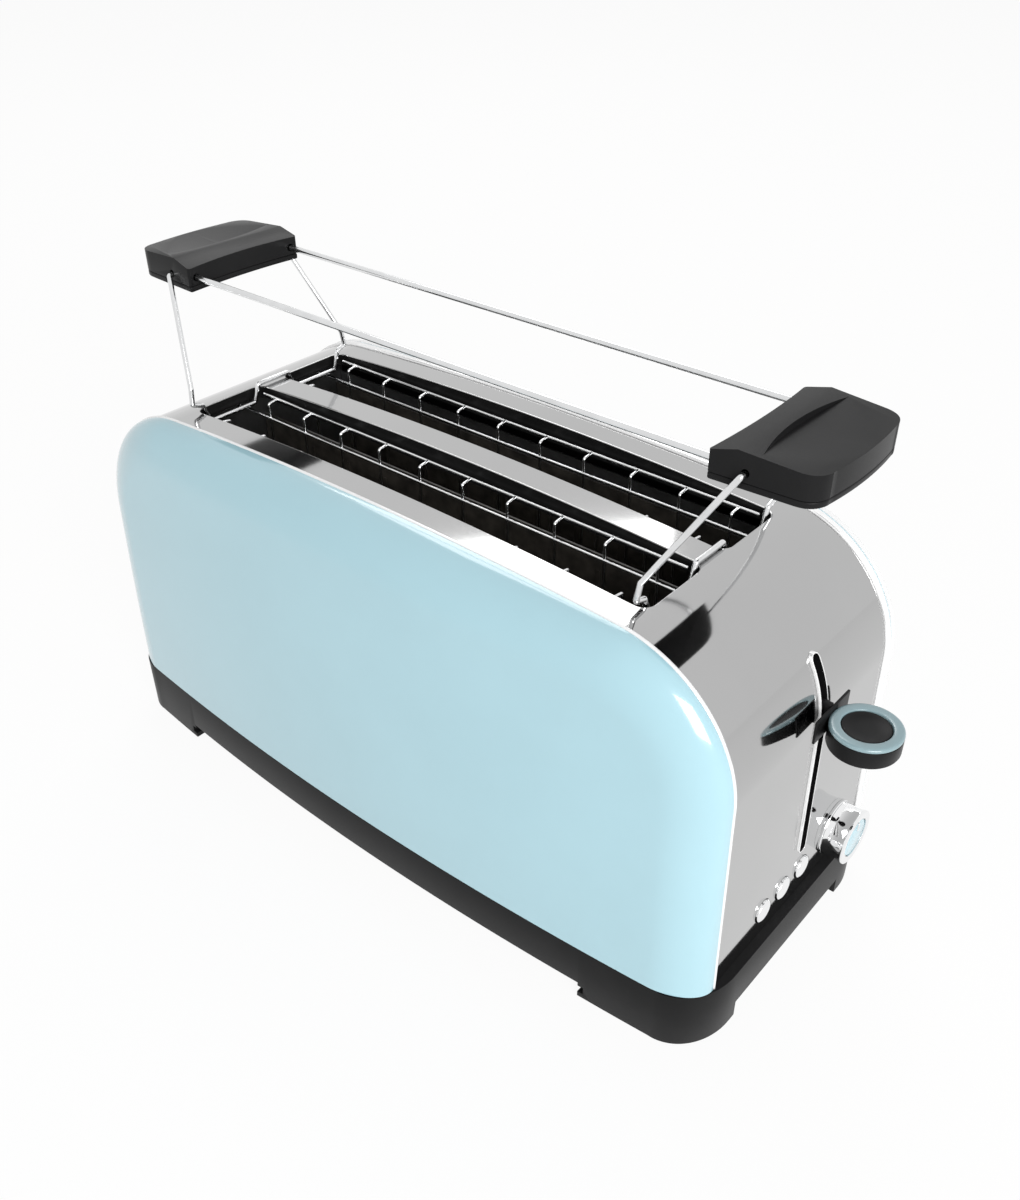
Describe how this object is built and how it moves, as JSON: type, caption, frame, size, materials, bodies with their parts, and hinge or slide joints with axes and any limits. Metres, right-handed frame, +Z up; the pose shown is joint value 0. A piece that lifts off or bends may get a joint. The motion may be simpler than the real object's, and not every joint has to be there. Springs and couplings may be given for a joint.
{
  "type": "long-slot toaster",
  "caption": "Long-slot toaster with pale blue side panels, a polished steel body, a round lever knob and a fold-up bun rack standing over the slots.",
  "frame": {"origin": "on the floor plane, under the middle of the whole object", "axes": "+X along the slots towards the control end, +Z up, the pictured side faces -Y"},
  "size_m": [0.431, 0.1814, 0.2658],
  "materials": {
    "polished_steel": "polished",
    "chrome_trim": "mirror",
    "pale_blue_paint": "gloss",
    "black_base": "satin",
    "dark_handle": "satin",
    "plain_steel": "plain",
    "mica_sheet": "matte",
    "black_rubber": "matte",
    "circuit_board": "satin",
    "copper_coil": "satin"
  },
  "bodies": {
    "body": {"body_wrap": "polished_steel", "base_skirt": "black_base", "bottom_plate": "plain_steel", "lever_slot_bezel": "chrome_trim", "lift_spring": "plain_steel", "electromagnet": "copper_coil", "dial_potentiometer": "black_base", "control_board": "circuit_board", "cord_gland": "black_base", "edge_trim_front": "chrome_trim", "side_panel_front": "pale_blue_paint", "heat_shield_front": "plain_steel", "guide_rod_front": "plain_steel", "bread_guard_front_outer": "plain_steel", "bread_guard_front_inner": "plain_steel", "edge_trim_rear": "chrome_trim", "side_panel_rear": "pale_blue_paint", "heat_shield_rear": "plain_steel", "guide_rod_rear": "plain_steel", "bread_guard_rear_outer": "plain_steel", "bread_guard_rear_inner": "plain_steel", "chassis_plate_control": "plain_steel", "foot_pad_control_front": "black_rubber", "foot_pad_control_rear": "black_rubber", "chassis_plate_tray": "plain_steel", "foot_pad_tray_front": "black_rubber", "foot_pad_tray_rear": "black_rubber", "heater_board_front": "mica_sheet", "heater_board_centre": "mica_sheet", "heater_board_rear": "mica_sheet"},
    "carriage": {"carriage_bracket": "plain_steel", "bread_rack_front": "plain_steel", "bread_rack_rear": "plain_steel", "armature": "plain_steel", "lever_arm": "black_base", "lever_knob": "black_base", "lever_ring": "pale_blue_paint"},
    "dial": {"dial_knob": "chrome_trim", "dial_inset": "pale_blue_paint", "dial_pointer": "chrome_trim", "dial_shaft": "plain_steel"},
    "button_1": {"push_button_1": "chrome_trim"},
    "button_2": {"push_button_2": "chrome_trim"},
    "button_3": {"push_button_3": "chrome_trim"},
    "tray": {"crumb_tray": "plain_steel", "tray_grip": "black_base"},
    "bun_rack": {"rack_rail_front": "chrome_trim", "rack_rail_rear": "chrome_trim", "rack_handle_control": "dark_handle", "rack_handle_tray": "dark_handle", "handle_cover_control": "dark_handle", "handle_cover_tray": "dark_handle"},
    "leg_control": {"rack_leg_control": "chrome_trim"},
    "leg_tray": {"rack_leg_tray": "chrome_trim"}
  },
  "joints": [
    {"name": "carriage_slide", "type": "slide", "parent": "body", "child": "carriage", "axis": [0, 0, 1], "range_m": [-0.068, 0.012], "stiffness_N_per_m": 150, "springref_m": 0.0097, "deforming": ["lift_spring"]},
    {"name": "dial_turn", "type": "hinge", "parent": "body", "child": "dial", "pos_m": [0.1813, 0.039, 0.0512], "axis": [1, 0, 0], "range_deg": [-135, 135]},
    {"name": "button_press_1", "type": "slide", "parent": "body", "child": "button_1", "axis": [-1, 0, 0], "range_m": [0, 0.002], "stiffness_N_per_m": 300, "springref_m": -0.001},
    {"name": "button_press_2", "type": "slide", "parent": "body", "child": "button_2", "axis": [-1, 0, 0], "range_m": [0, 0.002], "stiffness_N_per_m": 300, "springref_m": -0.001},
    {"name": "button_press_3", "type": "slide", "parent": "body", "child": "button_3", "axis": [-1, 0, 0], "range_m": [0, 0.002], "stiffness_N_per_m": 300, "springref_m": -0.001},
    {"name": "tray_slide", "type": "slide", "parent": "body", "child": "tray", "axis": [-1, 0, 0], "range_m": [0, 0.25]},
    {"name": "rack_lift", "type": "slide", "parent": "body", "child": "bun_rack", "axis": [0, 0, 1], "range_m": [0, 0.27]},
    {"name": "leg_fold_control", "type": "hinge", "parent": "bun_rack", "child": "leg_control", "pos_m": [0.1525, 0, 0.259], "axis": [0, 1, 0], "range_deg": [0, 62]},
    {"name": "leg_fold_tray", "type": "hinge", "parent": "bun_rack", "child": "leg_tray", "pos_m": [-0.1759, 0, 0.259], "axis": [0, -1, 0], "range_deg": [0, 62]}
  ],
  "couplings": [
    {"joint": "leg_fold_control", "follows": "rack_lift", "rad_per_m": 4},
    {"joint": "leg_fold_tray", "follows": "rack_lift", "rad_per_m": 4}
  ]
}
